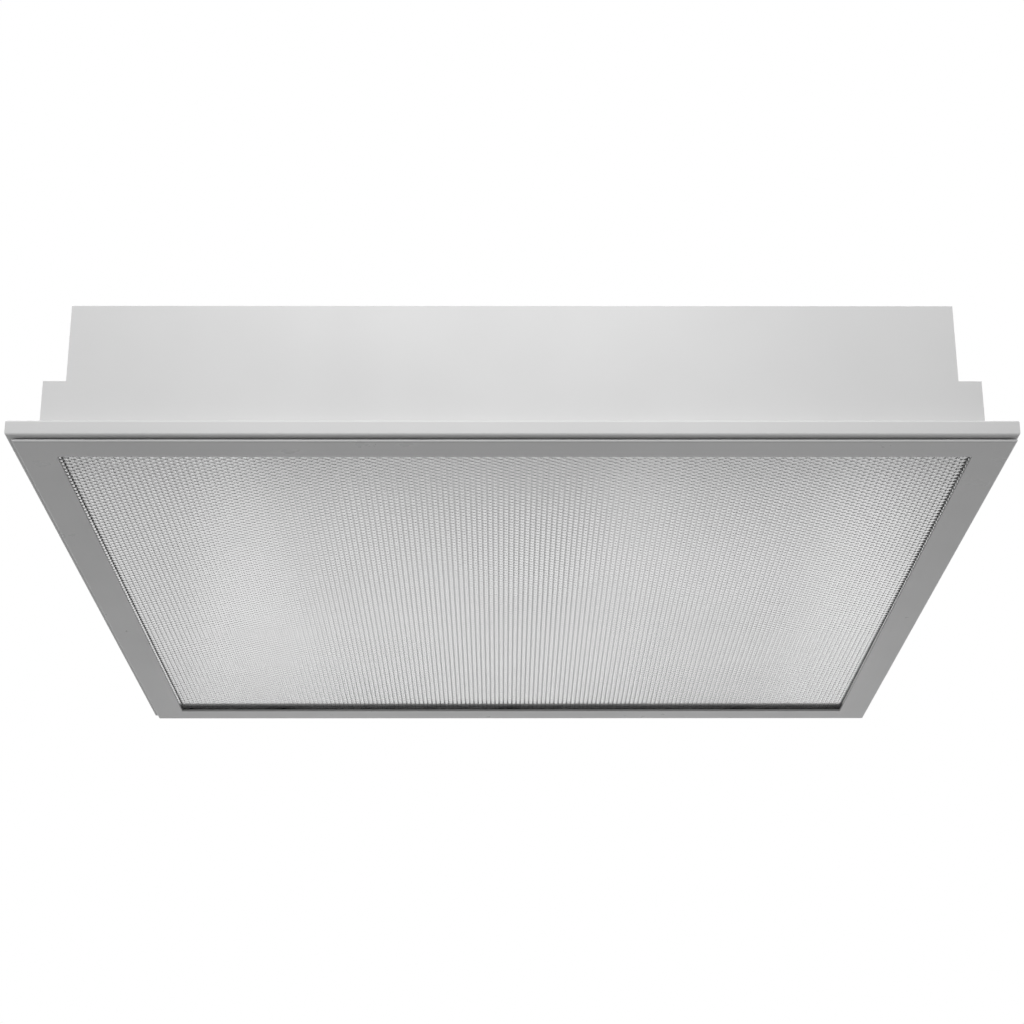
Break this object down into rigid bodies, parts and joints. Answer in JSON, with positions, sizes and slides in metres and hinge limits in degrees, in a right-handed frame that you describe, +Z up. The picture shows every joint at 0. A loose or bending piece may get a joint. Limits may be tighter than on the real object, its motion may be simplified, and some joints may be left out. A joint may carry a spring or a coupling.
{
  "type": "recessed troffer light",
  "caption": "Square recessed ceiling light: stepped steel housing, flange, hinged mitred door with prismatic lens, slim tubes, lampholders, tray and control gear.",
  "frame": {"origin": "centre of the square flange in plan, at the height of the closed door's lower face", "axes": "+Z up, into the ceiling; +X towards the door's hinge side; lamps lie along Y; -Y is the end that faces the viewer"},
  "size_m": [0.595, 0.595, 0.0923],
  "materials": {
    "white_paint": "satin powder coat on sheet steel",
    "door_paint": "satin powder coat on the door frame",
    "tray_paint": "gloss white reflector paint",
    "prismatic_acrylic": "clear prismatic acrylic, small rhombic pyramids",
    "zinc_steel": "zinc plated",
    "spring_steel": "bare spring steel",
    "fastener_steel": "zinc plated",
    "white_plastic": "moulded white",
    "rotor_plastic": "moulded light grey",
    "phosphor_glass": "phosphor-coated glass, unlit",
    "cap_aluminium": "drawn",
    "ballast_steel": "off-white coil coating",
    "grommet_rubber": "soft black"
  },
  "bodies": {
    "housing": {"housing_pan": "white_paint", "front_end_plate": "white_paint", "rear_end_plate": "white_paint", "housing_rivets": "fastener_steel", "flange_front": "white_paint", "flange_rear": "white_paint", "flange_left": "white_paint", "flange_right": "white_paint", "hinge_bracket_front": "white_paint", "hinge_bracket_rear": "white_paint", "latch_keeper_front": "zinc_steel", "latch_keeper_rear": "zinc_steel", "reflector_tray": "tray_paint", "tray_screws": "fastener_steel", "lampholder_bracket_front": "tray_paint", "lampholder_bracket_rear": "tray_paint", "lampholder_front_1": "white_plastic", "lampholder_front_2": "white_plastic", "lampholder_front_3": "white_plastic", "lampholder_front_4": "white_plastic", "lampholder_rear_1": "white_plastic", "lampholder_rear_2": "white_plastic", "lampholder_rear_3": "white_plastic", "lampholder_rear_4": "white_plastic", "ballast_case": "ballast_steel", "ballast_connectors": "white_plastic", "ballast_screws": "fastener_steel", "mains_terminal_block": "white_plastic", "terminal_screws": "fastener_steel", "earth_screw": "fastener_steel", "cable_grommet": "grommet_rubber", "blanking_plug": "white_plastic"},
    "door": {"door_rail_front": "door_paint", "door_rail_rear": "door_paint", "door_rail_left": "door_paint", "door_rail_right": "door_paint", "door_corner_plates": "zinc_steel", "prismatic_lens": "prismatic_acrylic", "lens_clips": "spring_steel", "latch_studs": "fastener_steel", "hinge_arm_front": "zinc_steel", "hinge_arm_rear": "zinc_steel", "hinge_pin_front": "fastener_steel", "hinge_pin_rear": "fastener_steel"},
    "front_latch": {"latch_bolt_front": "zinc_steel"},
    "rear_latch": {"latch_bolt_rear": "zinc_steel"},
    "lamp_1": {"lamp_tube_1": "phosphor_glass", "lamp_caps_1": "cap_aluminium", "socket_rotors_1": "rotor_plastic"},
    "lamp_2": {"lamp_tube_2": "phosphor_glass", "lamp_caps_2": "cap_aluminium", "socket_rotors_2": "rotor_plastic"},
    "lamp_3": {"lamp_tube_3": "phosphor_glass", "lamp_caps_3": "cap_aluminium", "socket_rotors_3": "rotor_plastic"},
    "lamp_4": {"lamp_tube_4": "phosphor_glass", "lamp_caps_4": "cap_aluminium", "socket_rotors_4": "rotor_plastic"}
  },
  "joints": [
    {"name": "door_hinge", "type": "hinge", "parent": "housing", "child": "door", "pos_m": [0.2946, 0, 0.0059], "axis": [0, -1, 0], "range_deg": [0, 90]},
    {"name": "front_latch_slide", "type": "slide", "parent": "door", "child": "front_latch", "axis": [0, 1, 0], "range_m": [0, 0.008]},
    {"name": "rear_latch_slide", "type": "slide", "parent": "door", "child": "rear_latch", "axis": [0, 1, 0], "range_m": [0, 0.008]},
    {"name": "lamp_1_twist", "type": "hinge", "parent": "housing", "child": "lamp_1", "pos_m": [-0.195, 0, 0.045], "axis": [0, 1, 0], "range_deg": [0, 90]},
    {"name": "lamp_2_twist", "type": "hinge", "parent": "housing", "child": "lamp_2", "pos_m": [-0.065, 0, 0.045], "axis": [0, 1, 0], "range_deg": [0, 90]},
    {"name": "lamp_3_twist", "type": "hinge", "parent": "housing", "child": "lamp_3", "pos_m": [0.065, 0, 0.045], "axis": [0, 1, 0], "range_deg": [0, 90]},
    {"name": "lamp_4_twist", "type": "hinge", "parent": "housing", "child": "lamp_4", "pos_m": [0.195, 0, 0.045], "axis": [0, 1, 0], "range_deg": [0, 90]}
  ]
}
